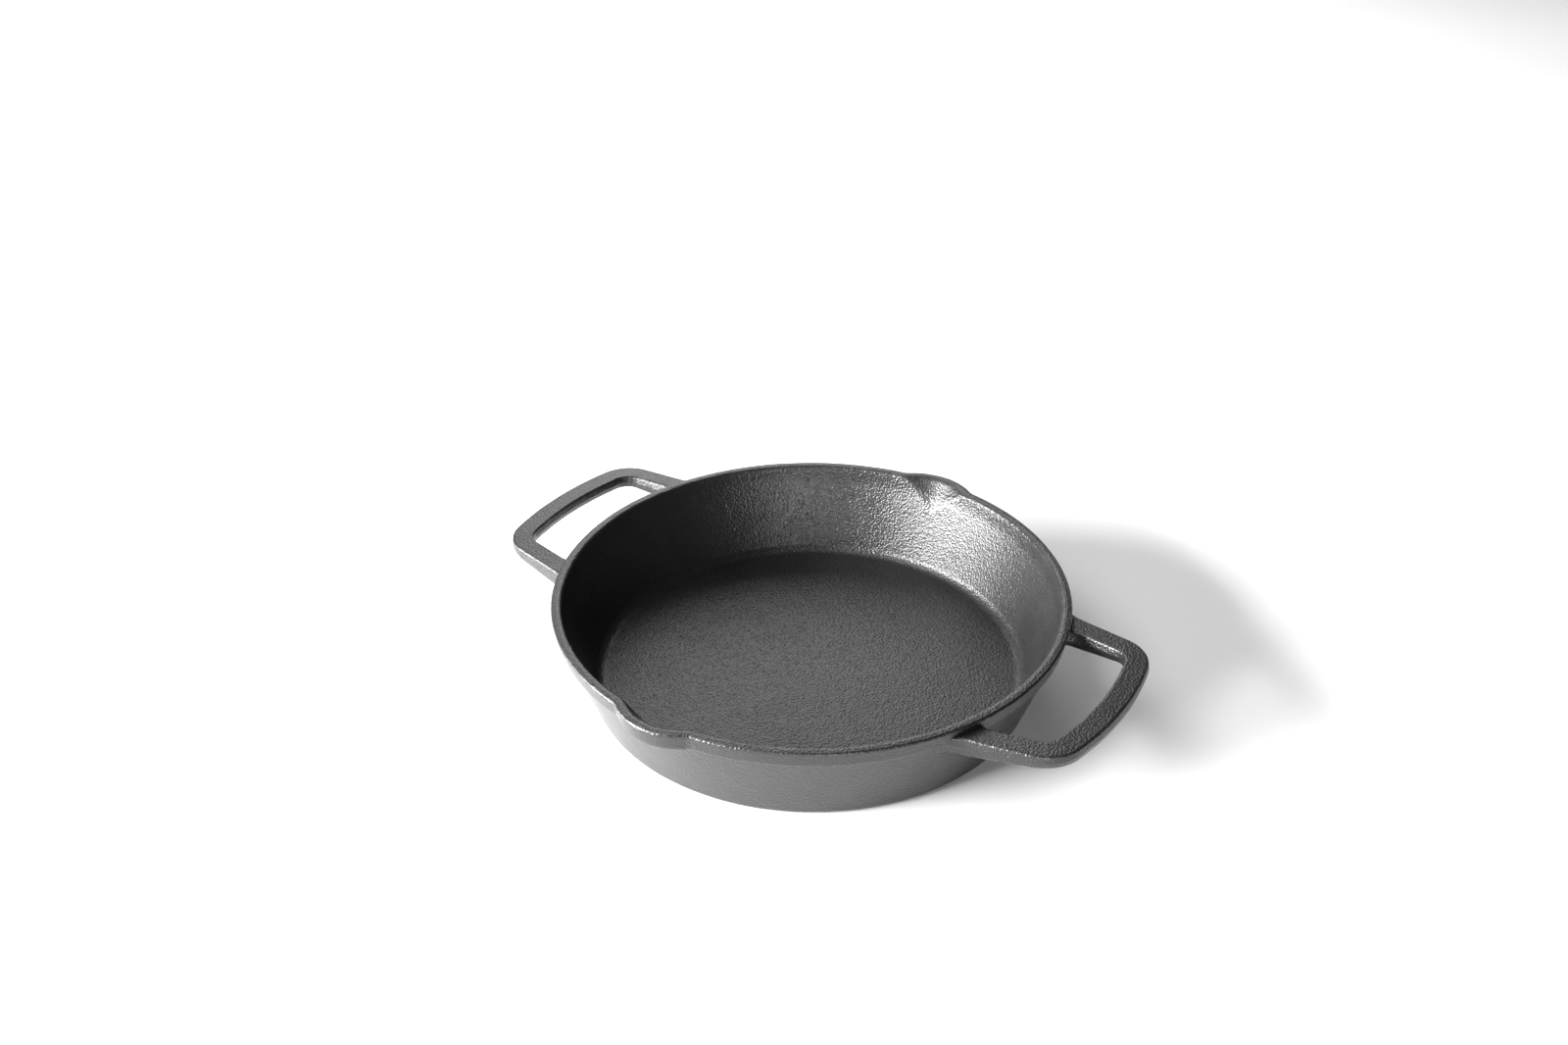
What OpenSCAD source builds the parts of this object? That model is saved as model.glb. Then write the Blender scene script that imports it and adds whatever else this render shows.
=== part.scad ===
// Two-handled cast skillet: one casting, drawn as the regions that a pattern maker would name.
// Origin at the centre of the flat base. +Z up, +X towards the right handle, -Y towards the front
// pouring spout. Millimetres. The regions meet face to face and never overlap.

/* [Pan] */
// Outside diameter over the top of the rim band
rim_d = 260; // [240:1:280]
// Height from the base to the top of the rim
pan_h = 50.8; // [46:0.1:58]
// Lean of the wall away from the vertical, in degrees
wall_lean = 19.8; // [16:0.1:23]
// Thickness of the wall, measured level
wall_t = 4.1; // [3.4:0.1:5]
// Thickness of the floor
floor_t = 4.2; // [3.6:0.1:5.5]
// Radius of the fillet between the floor and the inside of the wall
floor_fillet = 6; // [4:0.5:9]
// Radius of the outside corner round the base
base_round = 4.5; // [3:0.5:6]

/* [Rim band] */
// Height of the thicker band round the top of the wall
band_h = 8.5; // [6:0.5:11]
// How far the top of the band stands out from the wall just below it
band_step = 3.6; // [2.6:0.1:4.5]
// Draft of the band: how much narrower its lower edge is than its top, on the radius
band_draft = 1.3; // [0.5:0.1:1.8]
// Height of the sloping underside of the band
band_slope = 1.25; // [0.8:0.05:2]
// Radius of the band's outer top edge
rim_round = 1.4; // [0.8:0.1:1.8]
// Radius of the rim's inner top edge
lip_round = 1; // [0.5:0.1:1.4]
// How much thicker than the wall the rim is at its top, on the inside
rim_swell = 0.8; // [0:0.1:1.2]

/* [Pouring spouts] */
// Radius of the spout's nose in plan
nose_r = 33; // [28:0.5:38]
// How far the nose stands out beyond the rim
nose_reach = 5.7; // [4:0.1:7]
// Radius of the fillets where the nose runs back into the rim
nose_fillet = 7; // [4:0.5:8]
// Depth of the pouring channel below the top of the rim
channel_depth = 12.3; // [10:0.1:16]
// Radius of the channel's blunt foot
channel_foot_r = 8; // [3:0.5:10]
// Depth of the nose's sloping underside below the band
nose_underside = 6; // [4:0.5:8]

/* [Handles] */
// Overall length over both handles
overall_length = 340.6; // [330:0.2:352]
// Width of the grip bar, over its rounded sides
grip_w = 12.2; // [10.5:0.1:13]
// Width of each arm where it meets the rim, over its rounded sides
arm_root_w = 13.4; // [12.5:0.1:15]
// Polar angle from the handle's axis to the end of the grip bar's long arc, in degrees
grip_half_angle = 12.3; // [10:0.1:14]
// Radius of the bend between the grip and an arm, on the centre line
bend_r = 15; // [13:0.5:18]
// Angle of each arm to the handle's axis, in degrees
arm_splay = 8.5; // [4:0.5:12]
// Thickness of the handle at the rim
root_t = 10.5; // [9:0.1:11]
// Thickness of the handle at the grip
grip_t = 7.6; // [7:0.1:9]
// Depth of the handle's top face below the top of the rim, at the rim
handle_drop = 4.2; // [3:0.1:5]
// Rise of the top face per millimetre towards the grip
handle_rise = 0.045; // [0:0.005:0.06]
// Radius of the top edges of the handle
handle_top_round = 1.5; // [0.8:0.1:1.6]
// How far the edges of the grip stand inside its parting line
grip_draft = 0.4; // [0.2:0.1:1]
// How far the top edges of an arm stand inside its parting line, at the rim
root_draft = 1.4; // [0.2:0.1:1.6]
// Radius of the bottom edges of the handle
handle_under_round = 2.8; // [1.5:0.1:3]
// Reach of the fillet between an arm and the rim, on the finger side
root_fillet_in = 6; // [3:0.5:7]
// Reach of the fillet between an arm and the rim, on the outer side
root_fillet_out = 3.5; // [2:0.5:5]

/* [Hidden] */
$fn = 180;
iron = [0.17, 0.17, 0.18];

rim_r = rim_d / 2;
seat_z = pan_h - band_h - band_slope;      // where the band sits on the wall
wall_slope = tan(wall_lean);               // outward run per millimetre of height
seat_r = rim_r - band_step;                // outside of the wall at the seat
bore_r = seat_r - wall_t + (pan_h - seat_z) * wall_slope;  // the wall's inside, run up to the top
lip_r = bore_r - rim_swell;                // inside of the rim at the top
rim_slope = wall_slope - rim_swell / (pan_h - seat_z);     // outward run of the rim's inside
base_corner_r = seat_r - seat_z * wall_slope;              // wall and base lines cross here
foot_corner_r = bore_r - (pan_h - floor_t) * wall_slope;   // inner wall and floor lines cross here
corner_turn = tan((90 - wall_lean) / 2);   // tangent length per millimetre of corner radius
floor_r = foot_corner_r - floor_fillet * corner_turn - 1;  // edge of the floor region
wedge_half = 11;                           // half the sweep of each spout region, in degrees
spout_z = pan_h - channel_depth - 4.5;     // underside of the spout regions
nose_y = rim_r + nose_reach - nose_r;      // centre of the nose arc
slack = 2;                                 // cutting tools run this far past a face
arc_steps = 6;                             // straight steps in a rounded edge

tip_r = overall_length / 2;
grip_r = tip_r - grip_w / 2;               // centre line of the grip, about the pan's axis
bend_c = polar(grip_r - bend_r, grip_half_angle);
arm_turn = 90 - arm_splay;                 // the bend's last polar angle
arm_start = bend_c + polar(bend_r, arm_turn);
arm_dir = polar(1, arm_turn + 90);         // from the grip towards the pan
arm_len = norm(arm_start) - rim_r + grip_w;  // long enough to end inside the wall
taper_run = 30;                            // the handle thins over this distance from the rim
parting = 0.55;                            // height of the parting line, as a part of the thickness

function polar(r, a) = [r * cos(a), r * sin(a)];
function arc(c, r, a0, a1, n = arc_steps) = [for (i = [0:n]) c + polar(r, a0 + (a1 - a0) * i / n)];
function clamp01(x) = min(1, max(0, x));
function bore_at(z) = z < seat_z
    ? bore_r - (pan_h - z) * wall_slope
    : lip_r - (pan_h - z) * rim_slope;

// Outside of the rim band, from the seat up to the flat top. The edge radius is r at the top.
function band_outline(r) = concat(
    [[r - band_step, seat_z], [r - band_draft, seat_z + band_slope]],
    arc([r - rim_round, pan_h - rim_round], rim_round, 0, 90)
);

// Outside of the wall, from the edge of the floor region up to the band's seat.
function wall_outline() = concat(
    [[floor_r, 0]],
    arc([base_corner_r - base_round * corner_turn, base_round], base_round, -90, -wall_lean),
    [[seat_r, seat_z]]
);

// Inside of the wall, from the band's seat down to the edge of the floor region.
function bore_outline() = concat(
    [[bore_at(seat_z), seat_z]],
    arc([floor_r + 1, floor_t + floor_fillet], floor_fillet, -wall_lean, -90),
    [[floor_r, floor_t]]
);

// Inner top edge of the rim, from the flat top down to the seat.
function lip_outline() = concat(
    arc([lip_r - lip_round * rim_slope + lip_round / cos(atan(rim_slope)), pan_h - lip_round],
        lip_round, 90, 180 - atan(rim_slope)),
    [[bore_at(seat_z), seat_z]]
);

// Solid disc with the pan's whole outside shape. The arms and the spouts are trimmed with it.
module pan_envelope() {
    rotate_extrude()
        polygon(concat([[0, 0]], wall_outline(), band_outline(rim_r), [[0, pan_h]]));
}

// The hollow of the pan above the spout regions' underside, with the rim's inner edge left square.
module pan_bore() {
    low_z = spout_z - slack;
    high_z = pan_h + slack;
    rotate_extrude()
        polygon(concat([[0, low_z]], [for (z = [low_z, seat_z, high_z]) [bore_at(z), z]], [[0, high_z]]));
}

// Wedge about +Y that holds one spout region.
module spout_wedge(low_z = spout_z, high_z = pan_h + slack) {
    reach = 2 * rim_r;
    translate([0, 0, low_z])
        linear_extrude(high_z - low_z)
            polygon([[0, 0], polar(reach, 90 - wedge_half), polar(reach, 90 + wedge_half)]);
}

module both_spout_wedges() {
    spout_wedge();
    mirror([0, 1, 0]) spout_wedge();
}

// Half of the rim band, on the +X side, between the two spout regions.
module half_band() {
    sweep = 2 * (90 - wedge_half);
    rotate([0, 0, -sweep / 2])
        rotate_extrude(angle = sweep)
            polygon(concat(band_outline(rim_r), lip_outline()));
}

// Nose of a spout before its channel is cut: the band's outline turned about the nose centre,
// on a cone that falls back into the wall.
module nose() {
    under_r = nose_r - band_draft;
    translate([0, nose_y, 0])
        rotate_extrude()
            polygon(concat(
                [[0, seat_z + band_slope - nose_underside]],
                [[under_r - 1.5 * nose_underside, seat_z + band_slope - nose_underside]],
                [for (p = band_outline(nose_r)) if (p[1] > seat_z) p],
                [[0, pan_h]]
            ));
}

// Fillet between the nose and the rim, on the +X side: a web less the band's outline turned inside out.
module nose_web() {
    rim_gap = rim_r + nose_fillet;
    nose_gap = nose_r + nose_fillet;
    web_y = (pow(rim_gap, 2) - pow(nose_gap, 2) + pow(nose_y, 2)) / (2 * nose_y);
    web_x = sqrt(pow(rim_gap, 2) - pow(web_y, 2));
    difference() {
        translate([0, 0, seat_z])
            linear_extrude(band_h + band_slope)
                polygon([[0, nose_y], [web_x, web_y], [web_x * 0.8, web_y * 0.8]]);
        translate([web_x, web_y, 0])
            rotate_extrude()
                polygon(concat(
                    [[0, seat_z - slack], [nose_fillet + band_step, seat_z - slack]],
                    [for (p = band_outline(0)) [nose_fillet - p[0], p[1]]],
                    [[nose_fillet + rim_round, pan_h + slack], [0, pan_h + slack]]
                ));
    }
}

// Pouring channel: a leaning cone with a blunt foot, which opens from a place on the inside of the wall.
module channel() {
    low_z = pan_h - channel_depth;
    low_y = bore_at(low_z) - channel_foot_r;
    top_r = nose_r - wall_t - rim_swell;
    stretch = (channel_depth + slack) / channel_depth;
    hull() {
        translate([0, low_y, low_z]) cylinder(h = 0.02, r = channel_foot_r, $fn = 72);
        translate([0, low_y + (nose_y - low_y) * stretch, pan_h + slack])
            cylinder(h = 0.02, r = channel_foot_r + (top_r - channel_foot_r) * stretch, $fn = 72);
    }
}

module rear_spout() {
    difference() {
        intersection() {
            union() {
                pan_envelope();
                nose();
                nose_web();
                mirror([1, 0, 0]) nose_web();
            }
            spout_wedge();
        }
        pan_bore();
        channel();
    }
}

// Handle sections. Each is a ring of points across the bar at one place on its centre line.
function top_z(r) = pan_h - handle_drop + handle_rise * (r - rim_r);
function bar_t(r) = grip_t + (root_t - grip_t) * rootward(r);

// How far along the taper a place is: 1 at the rim, 0 at the grip.
function rootward(r) = 1 - clamp01((r - rim_r) / taper_run);

// One side of the bar's outline, from the top face round to the underside. w is the half width out
// at the parting line, and draft is how far the top edge stands inside it.
function side_outline(w, zt, zb, draft) = concat(
    arc([w - draft - handle_top_round, zt - handle_top_round], handle_top_round, 90, 10, 4),
    [[w, zb + parting * (zt - zb)]],
    arc([w - grip_draft - handle_under_round, zb + handle_under_round], handle_under_round, -8, -90, 5)
);

// Places the outline at the point p, across the direction n.
function section(p, n, w_out, w_in) = let (
    zt = top_z(norm(p)),
    zb = zt - bar_t(norm(p)),
    draft = grip_draft + (root_draft - grip_draft) * rootward(norm(p)),
    outer = side_outline(w_out, zt, zb, draft),
    inner = side_outline(w_in, zt, zb, draft),
    ring = concat(outer, [for (i = [len(inner) - 1:-1:0]) [-inner[i][0], inner[i][1]]])
) [for (q = ring) [p[0] + n[0] * q[0], p[1] + n[1] * q[0], q[1]]];

// Extra half width close to the rim, where a side of the arm flares into a fillet.
function flare(gap, reach) = reach * (1 - sqrt(1 - pow(1 - clamp01(gap / (1.5 * reach)), 2)));

function arm_section(s) = let (
    p = arm_start + s * arm_dir,
    n = polar(1, arm_turn),
    w = (grip_w + (arm_root_w - grip_w) * clamp01(s / taper_run)) / 2
) section(p, n,
    w + flare(norm(p + n * w) - rim_r, root_fillet_out),
    w + flare(norm(p - n * w) - rim_r, root_fillet_in));

function grip_side() = concat(
    [for (i = [0:5]) let (a = grip_half_angle * i / 5)
        section(polar(grip_r, a), polar(1, a), grip_w / 2, grip_w / 2)],
    [for (i = [1:7]) let (a = grip_half_angle + (arm_turn - grip_half_angle) * i / 7)
        section(bend_c + polar(bend_r, a), polar(1, a), grip_w / 2, grip_w / 2)]
);

// Closed solid through a row of rings that all have the same number of points.
module loft(rings) {
    m = len(rings[0]);
    last = m * (len(rings) - 1);
    polyhedron(
        points = [for (ring = rings) each ring],
        faces = concat(
            [[for (j = [m - 1:-1:0]) j], [for (j = [0:m - 1]) last + j]],
            [for (i = [0:len(rings) - 2], j = [0:m - 1]) let (k = (j + 1) % m)
                each [
                    [i * m + j, i * m + k, (i + 1) * m + k],
                    [i * m + j, (i + 1) * m + k, (i + 1) * m + j]
                ]]
        )
    );
}

// Grip bar of the right handle, with both bends.
module grip() {
    rear = grip_side();
    front = [for (i = [len(rear) - 1:-1:1]) [for (q = rear[i]) [q[0], -q[1], q[2]]]];
    loft(concat(front, rear));
}

// Rear arm of the right handle, trimmed to the outside of the pan.
module arm() {
    steps = 14;
    difference() {
        loft([for (i = [0:steps]) arm_section(arm_len * i / steps)]);
        pan_envelope();
    }
}

// The flat middle of the casting, inside the fillet ring.
module cooking_floor() {
    color(iron) cylinder(h = floor_t, r = floor_r);
}

// The leaning wall with its foot, from the floor to the rim band.
module side_wall() {
    color(iron)
        difference() {
            rotate_extrude() polygon(concat(wall_outline(), bore_outline()));
            both_spout_wedges();
        }
}

module right_rim_band() {
    color(iron) half_band();
}

module left_rim_band() {
    color(iron) mirror([1, 0, 0]) half_band();
}

module rear_pouring_spout() {
    color(iron) rear_spout();
}

module front_pouring_spout() {
    color(iron) mirror([0, 1, 0]) rear_spout();
}

module right_handle_grip() {
    color(iron) grip();
}

module right_handle_rear_arm() {
    color(iron) arm();
}

module right_handle_front_arm() {
    color(iron) mirror([0, 1, 0]) arm();
}

module left_handle_grip() {
    color(iron) mirror([1, 0, 0]) grip();
}

module left_handle_rear_arm() {
    color(iron) mirror([1, 0, 0]) arm();
}

module left_handle_front_arm() {
    color(iron) mirror([1, 0, 0]) mirror([0, 1, 0]) arm();
}

cooking_floor();
side_wall();
left_rim_band();
right_rim_band();
front_pouring_spout();
rear_pouring_spout();
left_handle_grip();
left_handle_front_arm();
left_handle_rear_arm();
right_handle_grip();
right_handle_front_arm();
right_handle_rear_arm();
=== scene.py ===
import math

import bpy
import numpy as np
from mathutils import Matrix, Vector


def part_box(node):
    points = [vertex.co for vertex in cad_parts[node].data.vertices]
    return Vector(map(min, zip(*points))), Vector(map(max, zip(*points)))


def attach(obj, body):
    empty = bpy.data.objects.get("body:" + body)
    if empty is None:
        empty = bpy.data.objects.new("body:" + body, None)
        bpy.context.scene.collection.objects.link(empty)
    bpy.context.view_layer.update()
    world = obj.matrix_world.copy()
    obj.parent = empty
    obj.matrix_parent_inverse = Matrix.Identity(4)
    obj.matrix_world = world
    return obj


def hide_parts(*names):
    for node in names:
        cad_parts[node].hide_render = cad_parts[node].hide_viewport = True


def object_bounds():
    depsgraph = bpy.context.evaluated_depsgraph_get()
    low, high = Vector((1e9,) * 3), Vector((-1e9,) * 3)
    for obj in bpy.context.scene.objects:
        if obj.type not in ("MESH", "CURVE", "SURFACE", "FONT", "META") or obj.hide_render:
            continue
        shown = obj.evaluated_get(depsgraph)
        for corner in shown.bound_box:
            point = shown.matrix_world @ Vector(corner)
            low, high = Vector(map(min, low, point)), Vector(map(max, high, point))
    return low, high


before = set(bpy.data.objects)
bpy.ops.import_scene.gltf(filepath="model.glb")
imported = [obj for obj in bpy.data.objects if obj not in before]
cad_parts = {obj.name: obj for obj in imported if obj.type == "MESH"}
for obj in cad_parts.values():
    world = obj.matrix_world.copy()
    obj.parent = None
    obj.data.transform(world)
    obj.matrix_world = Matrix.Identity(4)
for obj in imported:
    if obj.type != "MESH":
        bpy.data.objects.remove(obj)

CAD_LOW, CAD_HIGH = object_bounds()

# ---------------------------------------------------------------- sizes, in metres
MM = 0.001

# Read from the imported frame
RIM_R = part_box("right_rim_band")[1][0]          # outside of the rim band at the top
PAN_H = CAD_HIGH[2]
FLOOR_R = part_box("cooking_floor")[1][0]
FLOOR_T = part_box("cooking_floor")[1][2]
SEAT_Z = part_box("side_wall")[1][2]              # where the band sits on the wall
SPOUT_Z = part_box("rear_pouring_spout")[0][2]    # underside of the spout regions
NOSE_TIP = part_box("rear_pouring_spout")[1][1]   # outermost point of a spout
TIP_R = CAD_HIGH[0]                             # outermost point of a handle

# The wall and the base
WALL_LEAN = math.radians(19.8)
WALL_RUN = math.tan(WALL_LEAN)
WALL_T = 4.1 * MM
FLOOR_FILLET = 6.0 * MM
FLOOR_MARGIN = 1.0 * MM         # the flat goes on this far past the edge of the floor's region
BASE_ROUND = 4.5 * MM
SKIN = 0.08 * MM                # the surface lies this far inside the design, for its casting waves

# The rim band
BAND_STEP = 3.6 * MM
BAND_DRAFT = 1.3 * MM
BAND_SLOPE = 1.25 * MM          # height of the band's sloping underside
BAND_FOOT_EASE = 0.175 * MM     # the band's lower edge is worn back by this much,
BAND_FOOT_EASE_H = 0.6 * MM     # over about this height each way
SEAT_BLEND = 0.6 * MM           # round where the band's underside meets the wall
RIM_ROUND = 1.4 * MM
LIP_ROUND = 1.4 * MM
RIM_CROWN = 0.1 * MM            # the top of the rim is higher in its middle by this much
RIM_SWELL = 0.8 * MM            # the rim is this much thicker on the inside,
RIM_SWELL_H = 9.0 * MM          # and thins down to the wall over this height

# The pouring spouts
WEDGE_HALF = math.radians(11)   # half the sweep of a spout's region
NOSE_R = 33.0 * MM
NOSE_FILLET = 7.0 * MM
NOSE_BLEND = 0.8 * MM
NOSE_UNDER_RUN = 1.5            # the nose's underside falls back this far for each metre down
CHANNEL_DEPTH = 12.3 * MM
CHANNEL_FOOT_R = 8.0 * MM
CHANNEL_BLEND = 2.2 * MM
LIP_T = 4.9 * MM                # thickness of the lip between the channel and the nose

# The handles
GRIP_W = 12.2 * MM
ARM_ROOT_W = 13.4 * MM
GRIP_HALF_ANGLE = math.radians(12.3)
BEND_R = 15.0 * MM
ARM_SPLAY = math.radians(8.5)
ROOT_T = 10.5 * MM
GRIP_T = 7.6 * MM
HANDLE_DROP = 4.2 * MM
HANDLE_RISE = 0.045
TAPER_RUN = 30 * MM
TOP_ROUND = 1.1 * MM
UNDER_ROUND = 2.8 * MM
PARTING_ROUND = 0.8 * MM
PARTING = 0.55                  # height of the parting line, as a part of the thickness
GRIP_DRAFT = 0.4 * MM
ROOT_DRAFT_IN = 1.4 * MM
ROOT_DRAFT_OUT = 0.5 * MM
ROOT_SINK = 0.15 * MM           # an arm's end goes this far into the pan
ROOT_FILLET_IN = 6.0 * MM
ROOT_FILLET_OUT = 4.0 * MM
ROOT_FILLET_UNDER = 2.5 * MM
ROOT_FROM = 20 * MM             # the arm's rings are closer together from here on,
ARM_REACH = 46 * MM             # and end here, inside the pan
FILLET_RUN = 1.5                # length of a root fillet along the arm, for each metre of its reach

# The finish
GRAIN_DEEP = 0.31 * MM          # depth of the grain on faces turned to the pan's axis,
GRAIN_WORN = 0.28 * MM          # and on the others
PEBBLES_PER_METRE = 930
GRAINS_PER_METRE = 830
PEBBLE_SHARE = 0.6
BLOTCHES_PER_METRE = 38
DARK_TONE = (0.008, 0.008, 0.0082, 1)
PALE_TONE = (0.013, 0.013, 0.0132, 1)
SMOOTHEST = 0.29
ROUGHEST = 0.39

SEAT_R = RIM_R - BAND_STEP
BORE_TOP = SEAT_R - WALL_T + (PAN_H - SEAT_Z) * WALL_RUN    # the wall's inside, run up to the top
BASE_CORNER = SEAT_R - SEAT_Z * WALL_RUN                    # the wall's and the base's lines cross here
CORNER_TURN = math.tan((math.pi / 2 - WALL_LEAN) / 2)       # tangent length for each metre of corner radius
NOSE_Y = NOSE_TIP - NOSE_R
TOP_Z = PAN_H - SKIN
PLAIN_SIDE = math.pi            # an angle from a spout's middle at which the pan is plain

# Spacing of the mesh's rows and columns
WALL_STEP = 0.55 * MM
LOW_WALL_STEP = 0.9 * MM
BAND_STEP_OUT = 0.3 * MM
BAND_STEP_IN = 0.5 * MM
FLOOR_STEP = 1.3 * MM
FLOOR_FIRST_R = 1.2 * MM
WALL_COLUMN = math.radians(0.4)
FLOOR_COLUMNS = 720
BAND_COLUMNS = 400
SPOUT_COLUMNS = 132
SECTION_POINTS = 88
RING_STEP = 0.8 * MM
BEND_RING_STEP = 0.7 * MM


# ---------------------------------------------------------------- small helpers
def smooth_max(a, b, k):
    """The larger of a and b, rounded over a difference of k."""
    h = np.clip(k - np.abs(a - b), 0, None) / k
    return np.maximum(a, b) + h * h * k / 4


def clamp01(x):
    return np.clip(x, 0, 1)


def arc_points(centre, r, a0, a1, n):
    a = np.radians(np.linspace(a0, a1, n))
    return np.stack([centre[0] + r * np.cos(a), centre[1] + r * np.sin(a)], 1)


def casting_waves(p):
    """A small smooth wander of the surface, as a sand mould leaves. It depends on the place alone, so
    regions that meet stay together."""
    rng = np.random.default_rng(7)
    out = np.zeros_like(p)
    # Shortest and longest wave, push and number of waves, in millimetres
    for low, high, amplitude, count in ((22, 60, 0.011, 16), (9, 20, 0.004, 20)):
        for _ in range(count):
            way = rng.normal(size=3)
            way /= np.linalg.norm(way)
            length = rng.uniform(low, high) * MM
            phase = rng.uniform(0, 2 * math.pi)
            push = rng.normal(size=3) * amplitude * MM
            out += np.sin(p @ way * (2 * math.pi / length) + phase)[:, None] * push
    return np.clip(out, -SKIN, SKIN)


def make_piece(node, points, faces, caps):
    """A closed mesh that stands for one node. The edges of the cap faces are sharp, and the rest smooth."""
    name = node + "_casting"
    points = np.asarray(points, float)
    points = points + casting_waves(points)
    points = np.clip(points, np.array(CAD_LOW) + 1e-6, np.array(CAD_HIGH) - 1e-6)
    mesh = bpy.data.meshes.new(name)
    mesh.from_pydata([tuple(p) for p in points], [], [list(map(int, f)) for f in faces + caps])
    mesh.update()
    first_cap = len(faces)
    smooth = np.ones(len(mesh.polygons), bool)
    smooth[first_cap:] = False
    mesh.polygons.foreach_set("use_smooth", smooth)
    cap_edges = set()
    for f in mesh.polygons[first_cap:]:
        cap_edges.update(f.edge_keys)
    for e in mesh.edges:
        if e.key in cap_edges:
            e.use_edge_sharp = True
    mesh.validate()
    obj = bpy.data.objects.new(name, mesh)
    bpy.context.scene.collection.objects.link(obj)
    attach(obj, "root")
    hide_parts(node)
    return obj


# ---------------------------------------------------------------- the pan's surfaces
def nose_web():
    """Polar radius and angle of the centre of the fillet between the nose and the rim."""
    rim_gap, nose_gap = RIM_R + NOSE_FILLET, NOSE_R + NOSE_FILLET
    y = (rim_gap ** 2 - nose_gap ** 2 + NOSE_Y ** 2) / (2 * NOSE_Y)
    return rim_gap, math.acos(y / rim_gap)


def nose_radius(phi, inset, r=NOSE_R):
    """Polar radius of the nose's arc, inset by a distance, at the angle phi from the spout's middle."""
    inner = np.clip((r - inset) ** 2 - (NOSE_Y * np.sin(phi)) ** 2, 0, None)
    return NOSE_Y * np.cos(phi) + np.sqrt(inner)


def outline(phi, inset):
    """Polar radius of the rim's outside, with the nose and its fillets, inset by a distance."""
    phi, inset = np.broadcast_arrays(np.abs(phi), inset)
    web_r, web_a = nose_web()
    web = web_r * np.array([math.sin(web_a), math.cos(web_a)])
    way = web - np.array([0, NOSE_Y])
    way /= np.linalg.norm(way)
    meet = np.arctan2((NOSE_R - inset) * way[0], NOSE_Y + (NOSE_R - inset) * way[1])
    gap = np.clip((NOSE_FILLET + inset) ** 2 - (web_r * np.sin(phi - web_a)) ** 2, 0, None)
    fillet = web_r * np.cos(phi - web_a) - np.sqrt(gap)
    out = np.where(phi < meet, nose_radius(phi, inset), fillet)
    return np.where(phi < web_a, out, RIM_R - inset)


def wall_outside(z):
    """Radius of the plain wall, with the rounded base corner."""
    cone = BASE_CORNER + z * WALL_RUN
    centre = BASE_CORNER - BASE_ROUND * CORNER_TURN
    low = centre + np.sqrt(np.clip(BASE_ROUND ** 2 - (z - BASE_ROUND) ** 2, 0, None))
    return np.where(z < BASE_ROUND * (1 - math.sin(WALL_LEAN)), low, cone)


def outside(phi, z):
    """Polar radius of the whole outside, below the rim's rounded top edge."""
    band_foot = SEAT_Z + BAND_SLOPE
    draft = BAND_DRAFT * clamp01((TOP_Z - RIM_ROUND - z) / (TOP_Z - RIM_ROUND - band_foot))
    slope = np.clip(band_foot - z, 0, None)
    under = slope * (BAND_STEP - BAND_DRAFT) / BAND_SLOPE
    ease = BAND_FOOT_EASE * np.exp(-((z - band_foot) / BAND_FOOT_EASE_H) ** 2)
    band = outline(phi, draft + ease) - under
    nose = nose_radius(phi, draft + ease + slope * NOSE_UNDER_RUN)
    nose = np.where(np.abs(phi) < WEDGE_HALF * 0.95, nose, 0)
    shelf = np.where(slope > 0, smooth_max(band, nose, NOSE_BLEND), band)
    return smooth_max(shelf, wall_outside(z), SEAT_BLEND)


def bore(phi, z):
    """Polar radius of the inside, with the floor fillet left out and the pouring channel in."""
    swell = clamp01((z - TOP_Z + RIM_SWELL_H) / RIM_SWELL_H)
    cone = BORE_TOP - (PAN_H - z) * WALL_RUN - RIM_SWELL * swell ** 2 * (3 - 2 * swell)
    low_z = PAN_H - CHANNEL_DEPTH
    low_y = BORE_TOP - CHANNEL_DEPTH * WALL_RUN - CHANNEL_FOOT_R
    s = (z - low_z) / CHANNEL_DEPTH
    cy = low_y + (NOSE_Y - low_y) * s
    cr = CHANNEL_FOOT_R + (NOSE_R - LIP_T - CHANNEL_FOOT_R) * s
    inner = np.clip(cr, 0, None) ** 2 - (cy * np.sin(phi)) ** 2
    channel = cy * np.cos(phi) + np.sqrt(np.clip(inner, 0, None))
    channel = np.where((np.abs(phi) < WEDGE_HALF) & (inner > 0), channel, 0)
    return smooth_max(cone, channel, CHANNEL_BLEND)


def lip_spread(z):
    """How far the rounded inner edge of the rim stands back from the bore, close to the top."""
    up = np.clip(z - TOP_Z + LIP_ROUND, 0, LIP_ROUND)
    return LIP_ROUND - np.sqrt(LIP_ROUND ** 2 - up ** 2)


def spaced(low, high, step):
    return np.linspace(low, high, max(2, int(round((high - low) / step)) + 1))


WALL_LEVELS = spaced(SPOUT_Z, SEAT_Z, WALL_STEP)


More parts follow.
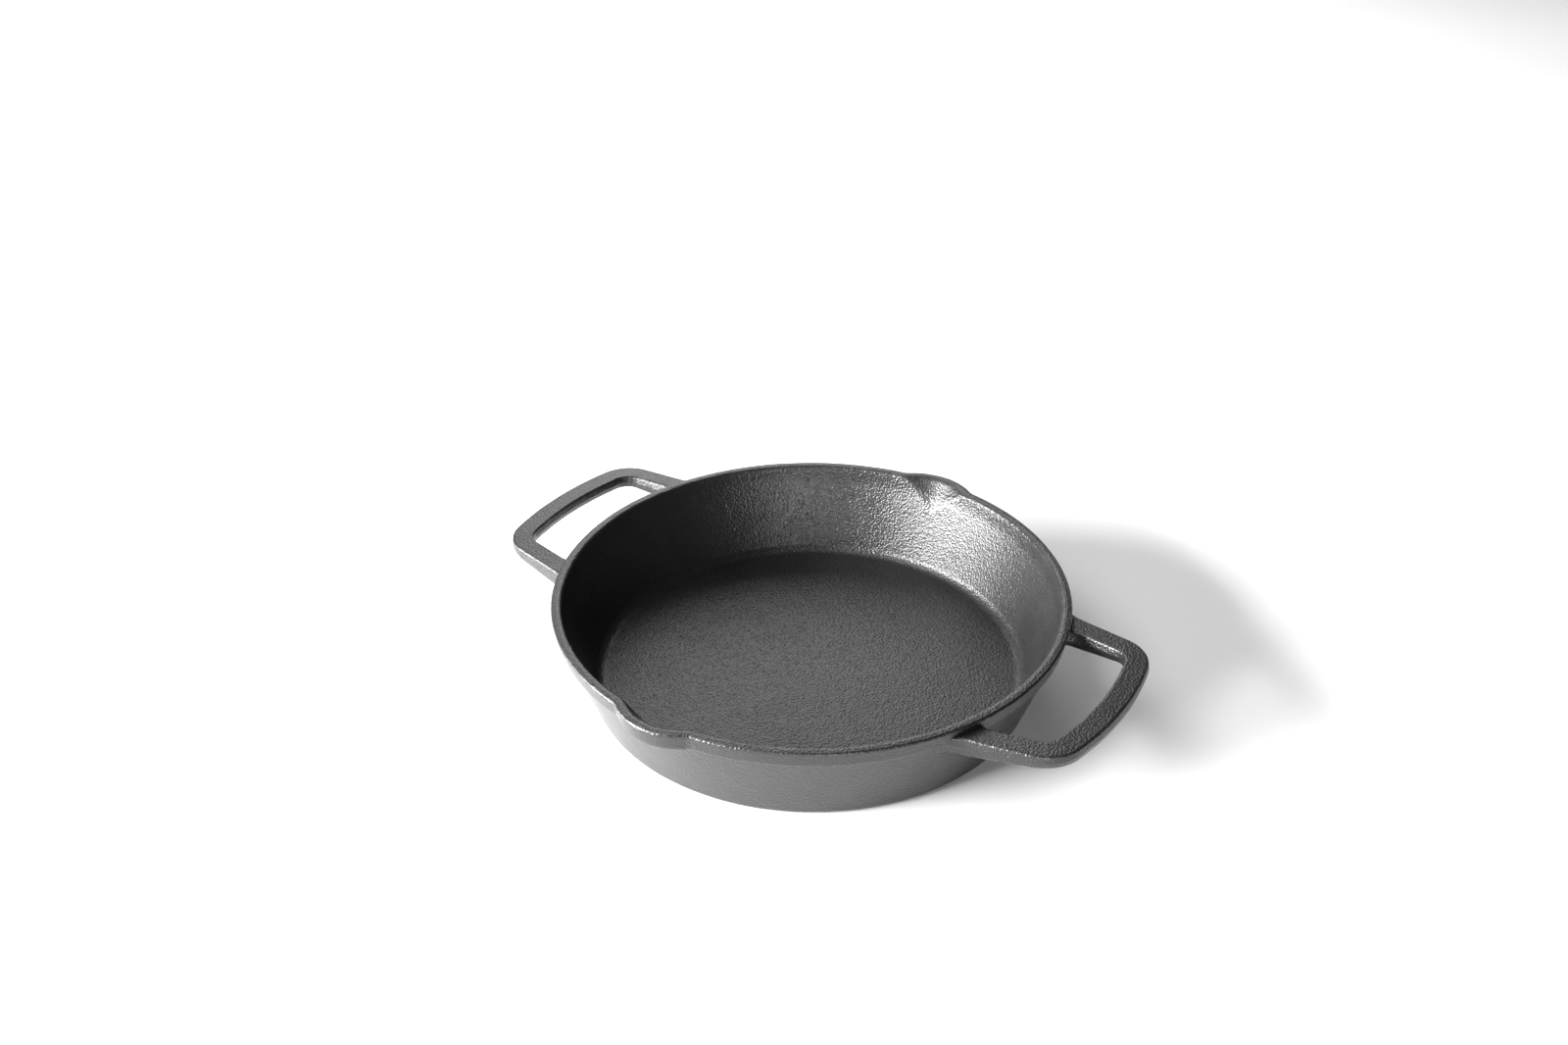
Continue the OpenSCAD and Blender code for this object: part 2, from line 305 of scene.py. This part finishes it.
def band_rows(phi):
    """Rows of (radius, height) from the seat, up the outside, over the rim and down the inside."""
    rows = [(outside(phi, z), z) for z in spaced(SEAT_Z, TOP_Z - RIM_ROUND, BAND_STEP_OUT)]
    for a in np.linspace(0, math.pi / 2, 9)[1:-1]:
        inset = RIM_ROUND * (1 - math.cos(a))
        rows.append((outline(phi, inset), TOP_Z - RIM_ROUND * (1 - math.sin(a))))
    outer = outline(phi, RIM_ROUND)
    inner = bore(phi, TOP_Z) + LIP_ROUND
    for t in np.linspace(0, 1, 7)[:-1]:
        rows.append((outer + (inner - outer) * t, TOP_Z + RIM_CROWN * (4 * t * (1 - t) - 1)))
    for a in np.linspace(math.pi / 2, 0, 9):
        z = TOP_Z - LIP_ROUND * (1 - math.sin(a))
        fall = RIM_CROWN * math.sin(a)
        rows.append((bore(phi, z) + lip_spread(z), z - fall))
    return rows + [(bore(phi, z), z) for z in spaced(SEAT_Z, TOP_Z - LIP_ROUND, BAND_STEP_IN)[-2::-1]]


def ring_points(rows, theta):
    """Points [row, column, 3] of rows of radius and height along the angles theta."""
    out = []
    for r, z in rows:
        r = np.broadcast_to(r, theta.shape)
        out.append(np.stack([r * np.cos(theta), r * np.sin(theta), np.full(theta.shape, float(z))], 1))
    return np.array(out)


def grid_quad(i, j, n_rows, n_cols):
    """The face between row i and the next, and column j and the next, of points numbered row by row."""
    i2, j2 = (i + 1) % n_rows, (j + 1) % n_cols
    return i * n_cols + j, i * n_cols + j2, i2 * n_cols + j2, i2 * n_cols + j


def strip_faces(n_rows, n_cols, wrap_cols=False):
    spans = n_cols if wrap_cols else n_cols - 1
    return [grid_quad(i, j, n_rows, n_cols) for i in range(n_rows - 1) for j in range(spans)]


def swept_region(node, rows, theta):
    """A region between two upright planes through the axis: rows of points, closed below and at both
    ends."""
    grid = ring_points(rows, theta)
    n_rows, n_cols = grid.shape[:2]
    faces = strip_faces(n_rows, n_cols)
    caps = [grid_quad(n_rows - 1, j, n_rows, n_cols) for j in range(n_cols - 1)]
    caps.append([i * n_cols for i in range(n_rows)])
    caps.append([i * n_cols + n_cols - 1 for i in range(n_rows)][::-1])
    return make_piece(node, grid.reshape(-1, 3), faces, caps)


def rim_band(node, middle):
    half = math.pi / 2 - WEDGE_HALF
    theta = middle + np.linspace(-half, half, BAND_COLUMNS + 1)
    return swept_region(node, band_rows(PLAIN_SIDE), theta)


def pouring_spout(node, middle):
    phi = np.linspace(-WEDGE_HALF, WEDGE_HALF, SPOUT_COLUMNS + 1)
    up = [(outside(phi, z), z) for z in WALL_LEVELS[:-1]]
    down = [(bore(phi, z), z) for z in WALL_LEVELS[-2::-1]]
    return swept_region(node, up + band_rows(phi) + down, middle + phi)


def wall_columns():
    """Angles of the wall's columns, and which of them lie under a spout."""
    theta, notch = [], []
    for quarter in range(4):
        under_spout = quarter % 2 == 1
        half = WEDGE_HALF if under_spout else math.pi / 2 - WEDGE_HALF
        n = int(round(2 * half / WALL_COLUMN))
        theta.append(quarter * math.pi / 2 + np.linspace(-half, half, n + 1)[:-1])
        notch.append(np.full(n, under_spout))
    return np.concatenate(theta), np.concatenate(notch)


def low_wall_rows():
    """The wall's rows below the notches: up the outside from the floor's edge, and back down the inside."""
    lean = math.degrees(WALL_LEAN)
    corner = arc_points((BASE_CORNER - BASE_ROUND * CORNER_TURN, BASE_ROUND), BASE_ROUND, -90, -lean, 12)
    fillet = arc_points((FLOOR_R + FLOOR_MARGIN, FLOOR_T + FLOOR_FILLET), FLOOR_FILLET, -lean, -90, 14)
    up = [(FLOOR_R, 0.0), ((FLOOR_R + BASE_CORNER - BASE_ROUND) / 2, 0.0)] + [tuple(p) for p in corner]
    up += [(BASE_CORNER + z * WALL_RUN, z) for z in spaced(corner[-1][1], SPOUT_Z, LOW_WALL_STEP)[1:-1]]
    down = [(bore(PLAIN_SIDE, z), z) for z in spaced(fillet[0][1], SPOUT_Z, LOW_WALL_STEP)[-2:0:-1]]
    return up, down + [tuple(p) for p in fillet] + [(FLOOR_R, FLOOR_T)]


def side_wall():
    """The wall, notched for the two spouts. Its rows run up the outside and down the inside."""
    theta, notch = wall_columns()
    low_out, low_in = low_wall_rows()
    high_out = [(outside(PLAIN_SIDE, z), z) for z in WALL_LEVELS]
    high_in = [(bore(PLAIN_SIDE, z), z) for z in WALL_LEVELS[::-1]]
    grid = ring_points(low_out + high_out + high_in + low_in, theta)
    n_rows, n_cols = grid.shape[:2]
    first, levels = len(low_out), len(WALL_LEVELS)
    crest = first + levels - 1                  # the last row on the outside
    last_high = first + 2 * levels - 1          # the inside row level with the notch's floor
    faces, caps = [], []
    for i in range(n_rows):
        side = caps if i in (crest, n_rows - 1) else faces
        for j in range(n_cols):
            if not (notch[j] and first <= i < last_high):
                side.append(grid_quad(i, j, n_rows, n_cols))
    notch_out, notch_in = first * n_cols, last_high * n_cols
    for j in np.nonzero(notch)[0]:
        j2 = (j + 1) % n_cols
        caps.append((notch_out + j, notch_out + j2, notch_in + j2, notch_in + j))
    for j in range(n_cols):
        if notch[j] == notch[j - 1]:
            continue
        for k in range(levels - 1):
            a, b = first + k, last_high - k
            quad = (a * n_cols + j, (a + 1) * n_cols + j, (b - 1) * n_cols + j, b * n_cols + j)
            caps.append(quad[::-1] if notch[j] else quad)
    # The points in the notches are left out.
    used, numbers = np.unique([k for f in faces + caps for k in f], return_inverse=True)
    quads = [tuple(q) for q in numbers.reshape(-1, 4)]
    return make_piece("side_wall", grid.reshape(-1, 3)[used], quads[:len(faces)], quads[len(faces):])


def cooking_floor():
    """The flat middle. Rows run in along the top and out along the base, with a point in each centre."""
    theta = np.linspace(0, 2 * math.pi, FLOOR_COLUMNS, endpoint=False)
    radii = spaced(FLOOR_FIRST_R, FLOOR_R, FLOOR_STEP)
    grid = ring_points([(r, FLOOR_T) for r in radii[::-1]] + [(r, 0.0) for r in radii], theta)
    n_rows = len(grid)
    top_middle, base_middle = n_rows * FLOOR_COLUMNS, n_rows * FLOOR_COLUMNS + 1
    points = np.concatenate([grid.reshape(-1, 3), [[0, 0, FLOOR_T], [0, 0, 0]]])
    faces, caps = [], []
    for i in range(n_rows):
        for j in range(FLOOR_COLUMNS):
            a, b, c, d = grid_quad(i, j, n_rows, FLOOR_COLUMNS)
            if i == n_rows // 2 - 1:
                faces += [(a, b, top_middle), (c, d, base_middle)]
            else:
                (caps if i == n_rows - 1 else faces).append((a, b, c, d))
    return make_piece("cooking_floor", points, faces, caps)


# ---------------------------------------------------------------- the handles
def resampled(line, n):
    """n points evenly spaced round a closed line."""
    line = np.vstack([line, line[:1]])
    run = np.concatenate([[0], np.cumsum(np.linalg.norm(np.diff(line, axis=0), axis=1))])
    at = np.linspace(0, run[-1], n, endpoint=False)
    return np.stack([np.interp(at, run, line[:, k]) for k in (0, 1)], 1)


def bar_side(w, top, low, draft):
    """One side of the bar's section, from the top face's edge round to the underside's."""
    line = [arc_points((w - draft - TOP_ROUND, top - TOP_ROUND), TOP_ROUND, 90, 12, 10)]
    z = low + PARTING * (top - low)
    line.append(arc_points((w - PARTING_ROUND, z), PARTING_ROUND, 10, -10, 4))
    line.append(arc_points((w - GRIP_DRAFT - UNDER_ROUND, low + UNDER_ROUND), UNDER_ROUND, -8, -90, 12))
    return np.vstack(line)


def bar_section(r, w):
    """Points (across, height) round the bar's section at the distance r from the pan's axis."""
    rootward = 1 - clamp01((r - RIM_R) / TAPER_RUN)
    top = PAN_H - HANDLE_DROP + HANDLE_RISE * (r - RIM_R)
    low = top - (GRIP_T + (ROOT_T - GRIP_T) * rootward)
    out, finger = (bar_side(w, top, low, GRIP_DRAFT + (root_draft - GRIP_DRAFT) * rootward)
                   for root_draft in (ROOT_DRAFT_OUT, ROOT_DRAFT_IN))
    return resampled(np.vstack([out, finger[::-1] * np.array([-1, 1])]), SECTION_POINTS)


def quarter_fillet(k):
    """Height of a quarter-round fillet at the share k of its run: 1 at the start and 0 from the end on."""
    return 1 - np.sqrt(1 - (1 - clamp01(k)) ** 2)


def heading(a):
    return np.array([math.cos(a), math.sin(a)])


GRIP_R = TIP_R - SKIN - GRIP_W / 2
BEND_C = (GRIP_R - BEND_R) * heading(GRIP_HALF_ANGLE)
ARM_TURN = math.pi / 2 - ARM_SPLAY
ARM_START = BEND_C + BEND_R * heading(ARM_TURN)
ARM_WAY = heading(ARM_TURN + math.pi / 2)
ARM_SIDE = heading(ARM_TURN)


def placed(centre, across, section):
    """A section's points in space, at a centre and across a direction in plan."""
    flat = centre + section[:, :1] * across
    return np.column_stack([flat, section[:, 1]])


def grip_rings():
    rings = []
    for a in spaced(0, GRIP_HALF_ANGLE, RING_STEP / GRIP_R):
        rings.append(placed(GRIP_R * heading(a), heading(a), bar_section(GRIP_R, GRIP_W / 2)))
    for a in spaced(GRIP_HALF_ANGLE, ARM_TURN, BEND_RING_STEP / BEND_R)[1:]:
        centre = BEND_C + BEND_R * heading(a)
        rings.append(placed(centre, heading(a), bar_section(np.linalg.norm(centre), GRIP_W / 2)))
    return rings


def pan_gap(points):
    """How far points stand off the pan, away from its axis."""
    return np.hypot(points[:, 0], points[:, 1]) - outside(PLAIN_SIDE, points[:, 2])


def flared(centre, section, w):
    """Places a section of the arm, with the fillet at its root. The fillet spreads sideways, most on the
    finger side, and downward, and leaves the top face flat. On the outer side it depends on how far from
    the pan each point ends up, so that it runs out along the pan. The share moved is found by halving."""
    x, z = section[:, 0], section[:, 1]
    up = (z - z.mean()) / (np.ptp(z) / 2)
    reach = np.where(x < 0, ROOT_FILLET_IN, ROOT_FILLET_OUT) * clamp01(np.abs(x) / w) ** 2
    move = np.column_stack([np.sign(x) * reach, -ROOT_FILLET_UNDER * clamp01(-up) ** 2])
    run = FILLET_RUN * np.hypot(move[:, 0], move[:, 1]) + 0.01 * MM
    outward = clamp01(0.5 + x / w)
    plain_gap = pan_gap(placed(centre, ARM_SIDE, section))
    low, high = np.zeros(len(x)), np.ones(len(x))
    for _ in range(12):
        share = (low + high) / 2
        moved_gap = pan_gap(placed(centre, ARM_SIDE, section + move * share[:, None]))
        gap = plain_gap + (moved_gap - plain_gap) * outward
        grows = quarter_fillet(gap / run) > share
        low, high = np.where(grows, share, low), np.where(grows, high, share)
    return placed(centre, ARM_SIDE, section + move * low[:, None])


def arm_lines():
    """Rings of the rear arm of the right handle. Its last ring lies just inside the pan's surface."""
    s = np.concatenate([spaced(0, ROOT_FROM, RING_STEP), spaced(ROOT_FROM, ARM_REACH, RING_STEP / 8)[1:]])
    points, gaps = [], []
    for run in s:
        centre = ARM_START + run * ARM_WAY
        w = (GRIP_W + (ARM_ROOT_W - GRIP_W) * clamp01(run / TAPER_RUN)) / 2
        spread = flared(centre, bar_section(np.linalg.norm(centre), w), w)
        points.append(spread)
        gaps.append(pan_gap(spread) + ROOT_SINK)
    points, gaps = np.array(points), np.array(gaps)
    # Each line of points along the arm ends where it first meets the pan. The rings crowd towards there.
    shares = np.concatenate([np.linspace(0, 0.7, 28), 1 - 0.3 * np.linspace(1, 0, 44)[1:] ** 2])
    rings = np.zeros((len(shares), SECTION_POINTS, 3))
    for j in range(SECTION_POINTS):
        inside_at = np.argmax(gaps[:, j] <= 0)
        g0, g1 = gaps[inside_at - 1, j], gaps[inside_at, j]
        end = s[inside_at - 1] + (s[inside_at] - s[inside_at - 1]) * g0 / (g0 - g1)
        for k in range(3):
            rings[:, j, k] = np.interp(shares * end, s, points[:, j, k])
    return list(rings)


def lofted(node, rings, mirror):
    """A closed bar through a row of rings. Each end is a fan of faces round its middle."""
    rings = np.array(rings) * np.array([mirror[0], mirror[1], 1])
    n, m = rings.shape[:2]
    points = np.concatenate([rings.reshape(-1, 3), [rings[0].mean(axis=0), rings[-1].mean(axis=0)]])
    faces = strip_faces(n, m, wrap_cols=True)
    caps = [((j + 1) % m, j, n * m) for j in range(m)]
    caps += [((n - 1) * m + j, (n - 1) * m + (j + 1) % m, n * m + 1) for j in range(m)]
    if mirror[0] * mirror[1] < 0:
        faces = [f[::-1] for f in faces]
        caps = [f[::-1] for f in caps]
    return make_piece(node, points, faces, caps)


def handles():
    half = grip_rings()
    front = [ring * np.array([1, -1, 1]) for ring in half[:0:-1]]
    arm = arm_lines()
    for side, sx in (("right", 1), ("left", -1)):
        yield lofted(side + "_handle_grip", front + half, (sx, 1))
        for place, sy in (("rear", 1), ("front", -1)):
            yield lofted(side + "_handle_" + place + "_arm", arm, (sx, sy))


# ---------------------------------------------------------------- materials
def node_of(tree, kind, place, **values):
    node = tree.nodes.new(kind)
    node.location = place
    for key, value in values.items():
        if key in node.inputs:
            node.inputs[key].default_value = value
        else:
            setattr(node, key, value)
    return node


def grain_height(tree, coord):
    """Height of the sand-cast grain, as a share of its depth: rounded pebbles with a noise on them."""
    pebble = node_of(tree, "ShaderNodeTexVoronoi", (-1200, 0), Scale=PEBBLES_PER_METRE, Randomness=1.0)
    pebble.feature = "SMOOTH_F1"
    pebble.inputs["Smoothness"].default_value = 0.35
    grain = node_of(tree, "ShaderNodeTexNoise", (-1200, -250), Scale=GRAINS_PER_METRE, Detail=2.0)
    grain.inputs["Roughness"].default_value = 0.5
    tree.links.new(coord.outputs["Object"], pebble.inputs["Vector"])
    tree.links.new(coord.outputs["Object"], grain.inputs["Vector"])
    mix = node_of(tree, "ShaderNodeMath", (-900, -50), operation="MULTIPLY_ADD")
    mix.inputs[1].default_value = PEBBLE_SHARE
    tree.links.new(pebble.outputs["Distance"], mix.inputs[0])
    tree.links.new(grain.outputs["Fac"], mix.inputs[2])
    return mix.outputs[0]


def grain_depth(tree, coord):
    """Depth of the grain. It is deep on faces turned to the pan's axis, and a little worn on the others."""
    flat = node_of(tree, "ShaderNodeVectorMath", (-1200, -480), operation="MULTIPLY")
    flat.inputs[1].default_value = (-1, -1, 0)
    tree.links.new(coord.outputs["Object"], flat.inputs[0])
    inward = node_of(tree, "ShaderNodeVectorMath", (-1020, -480), operation="NORMALIZE")
    tree.links.new(flat.outputs["Vector"], inward.inputs[0])
    facing = node_of(tree, "ShaderNodeVectorMath", (-840, -480), operation="DOT_PRODUCT")
    tree.links.new(inward.outputs["Vector"], facing.inputs[0])
    tree.links.new(coord.outputs["Normal"], facing.inputs[1])
    depth = node_of(tree, "ShaderNodeMapRange", (-660, -480), interpolation_type="SMOOTHSTEP")
    depth.inputs["From Min"].default_value = 0.1
    depth.inputs["From Max"].default_value = 0.8
    depth.inputs["To Min"].default_value = GRAIN_WORN
    depth.inputs["To Max"].default_value = GRAIN_DEEP
    tree.links.new(facing.outputs["Value"], depth.inputs["Value"])
    return depth.outputs["Result"]


def seasoned_iron():
    """Oil-seasoned, sand-cast iron: near black, satin, with a pebbled grain."""
    mat = bpy.data.materials.new("seasoned_iron_finish")
    mat.use_nodes = True
    tree = mat.node_tree
    link = tree.links.new
    shader = tree.nodes["Principled BSDF"]
    shader.inputs["Specular IOR Level"].default_value = 0.5
    shader.inputs["IOR"].default_value = 1.5
    coord = node_of(tree, "ShaderNodeTexCoord", (-1500, 0))

    blotch = node_of(tree, "ShaderNodeTexNoise", (-1200, 300), Scale=BLOTCHES_PER_METRE, Detail=4.0)
    blotch.inputs["Roughness"].default_value = 0.6
    link(coord.outputs["Object"], blotch.inputs["Vector"])
    tone = node_of(tree, "ShaderNodeValToRGB", (-950, 300))
    for stop, place, colour in zip(tone.color_ramp.elements, (0.3, 0.75), (DARK_TONE, PALE_TONE)):
        stop.position = place
        stop.color = colour
    link(blotch.outputs["Fac"], tone.inputs["Fac"])
    link(tone.outputs["Color"], shader.inputs["Base Color"])

    rough = node_of(tree, "ShaderNodeMapRange", (-650, 60))
    rough.inputs["To Min"].default_value = SMOOTHEST
    rough.inputs["To Max"].default_value = ROUGHEST
    link(blotch.outputs["Fac"], rough.inputs["Value"])
    link(rough.outputs["Result"], shader.inputs["Roughness"])

    bump = node_of(tree, "ShaderNodeBump", (-450, -200), Strength=1.0)
    link(grain_depth(tree, coord), bump.inputs["Distance"])
    link(grain_height(tree, coord), bump.inputs["Height"])
    link(bump.outputs["Normal"], shader.inputs["Normal"])
    return mat


def studio_floor():
    mat = bpy.data.materials.new("studio_floor")
    mat.use_nodes = True
    tree = mat.node_tree
    shader = tree.nodes["Principled BSDF"]
    shader.inputs["Roughness"].default_value = 0.9
    shader.inputs["Specular IOR Level"].default_value = 0.1
    coord = node_of(tree, "ShaderNodeTexCoord", (-800, 0))
    noise = node_of(tree, "ShaderNodeTexNoise", (-600, 0), Scale=3.0)
    ramp = node_of(tree, "ShaderNodeValToRGB", (-350, 0))
    for stop, grey in zip(ramp.color_ramp.elements, (0.79, 0.83)):
        stop.color = (grey, grey, grey, 1)
    tree.links.new(coord.outputs["Object"], noise.inputs["Vector"])
    tree.links.new(noise.outputs["Fac"], ramp.inputs["Fac"])
    tree.links.new(ramp.outputs["Color"], shader.inputs["Base Color"])
    return mat


# ---------------------------------------------------------------- studio
CAMERA_PLACE = (0.36674, -0.54683, 0.48853)
CAMERA_TURN = 35.0              # how far the camera's heading is turned from +Y, in degrees
CAMERA_PITCH = 31.257           # how far it looks down
CAMERA_ROLL = -0.452
CAMERA_LENS = 36.09             # in millimetres, on a sensor 36 mm wide
FLOOR_DISC_R = 2.7
FLOOR_BELOW = 0.0002            # the floor lies this far below the base
DIM_FILL = 0.06
PALE_BACKDROP = 1.0


def make_camera():
    """Stands in front of the pan and to its right, and looks down on it."""
    data = bpy.data.cameras.new("camera")
    data.sensor_width = 36.0
    data.lens = CAMERA_LENS
    data.clip_start, data.clip_end = 0.01, 50
    camera = bpy.data.objects.new("camera", data)
    bpy.context.scene.collection.objects.link(camera)
    turn = Matrix.Rotation(math.radians(CAMERA_TURN), 4, "Z")
    pitch = Matrix.Rotation(math.radians(90 - CAMERA_PITCH), 4, "X")
    roll = Matrix.Rotation(math.radians(CAMERA_ROLL), 4, "Z")
    place = Matrix.Translation(CAMERA_PLACE)
    camera.matrix_world = place @ turn @ pitch @ roll
    bpy.context.scene.camera = camera


def turned(right, away, up):
    """A place given from the camera's side, in the frame's own axes."""
    return Matrix.Rotation(math.radians(CAMERA_TURN), 3, "Z") @ Vector((right, away, up))


def panel(name, size, radiance):
    """An area light at the origin that looks down. Its brightness doesn't depend on its size."""
    data = bpy.data.lights.new(name, "AREA")
    data.shape = "RECTANGLE"
    data.size, data.size_y = size
    data.energy = radiance * math.pi * size[0] * size[1]
    light = bpy.data.objects.new(name, data)
    bpy.context.scene.collection.objects.link(light)
    return light


def soft_box(name, azimuth, elevation, distance, size, radiance):
    """A panel that looks at the pan. Azimuth 0 is to the camera's right, 90 is behind the pan and 180 is
    to the left."""
    light = panel(name, size, radiance)
    a, e = math.radians(azimuth + CAMERA_TURN), math.radians(elevation)
    way = Vector((math.cos(e) * math.cos(a), math.cos(e) * math.sin(a), math.sin(e)))
    light.location = Vector((0, 0, PAN_H / 2)) + way * distance
    light.rotation_euler = (-way).to_track_quat("-Z", "Y").to_euler()


def make_world():
    """A pale backdrop for the camera, and a dim fill from all round for everything else."""
    world = bpy.data.worlds.new("studio")
    bpy.context.scene.world = world
    world.use_nodes = True
    path = node_of(world.node_tree, "ShaderNodeLightPath", (-500, 0))
    glow = node_of(world.node_tree, "ShaderNodeMapRange", (-250, 0))
    glow.inputs["To Min"].default_value = DIM_FILL
    glow.inputs["To Max"].default_value = PALE_BACKDROP
    background = world.node_tree.nodes["Background"]
    background.inputs["Color"].default_value = (1, 1, 1, 1)
    world.node_tree.links.new(path.outputs["Is Camera Ray"], glow.inputs["Value"])
    world.node_tree.links.new(glow.outputs["Result"], background.inputs["Strength"])


def make_floor():
    angles = np.linspace(0, 2 * math.pi, 96, endpoint=False)
    mesh = bpy.data.meshes.new("floor")
    mesh.from_pydata([(*(FLOOR_DISC_R * heading(a)), 0) for a in angles], [], [range(len(angles))])
    floor = bpy.data.objects.new("floor", mesh)
    floor.location.z = -FLOOR_BELOW
    bpy.context.scene.collection.objects.link(floor)
    floor.data.materials.append(studio_floor())


def make_studio():
    bpy.context.scene.view_settings.view_transform = "Standard"
    make_world()
    make_floor()
    soft_box("key_upper", 196, 20, 3.0, (2.3, 0.62), 98)
    soft_box("key_lower", 197, 8, 3.0, (2.1, 0.62), 50)
    soft_box("front", 274, 11, 1.8, (0.55, 0.4), 25)
    soft_box("back", 94, 29, 1.8, (0.9, 1.2), 3.6)
    soft_box("left_high", 183, 60, 1.8, (1.4, 1.1), 4.6)
    floor_light = panel("floor_left", (0.3, 0.3), 9)
    floor_light.location = turned(-0.42, -0.08, 0.62)
    floor_light.data.spread = math.radians(44)


# ---------------------------------------------------------------- build
make_camera()
make_studio()
iron = seasoned_iron()
parts = [
    cooking_floor(),
    side_wall(),
    rim_band("right_rim_band", 0),
    rim_band("left_rim_band", math.pi),
    pouring_spout("rear_pouring_spout", math.pi / 2),
    pouring_spout("front_pouring_spout", -math.pi / 2),
] + list(handles())
for part in parts:
    part.data.materials.append(iron)
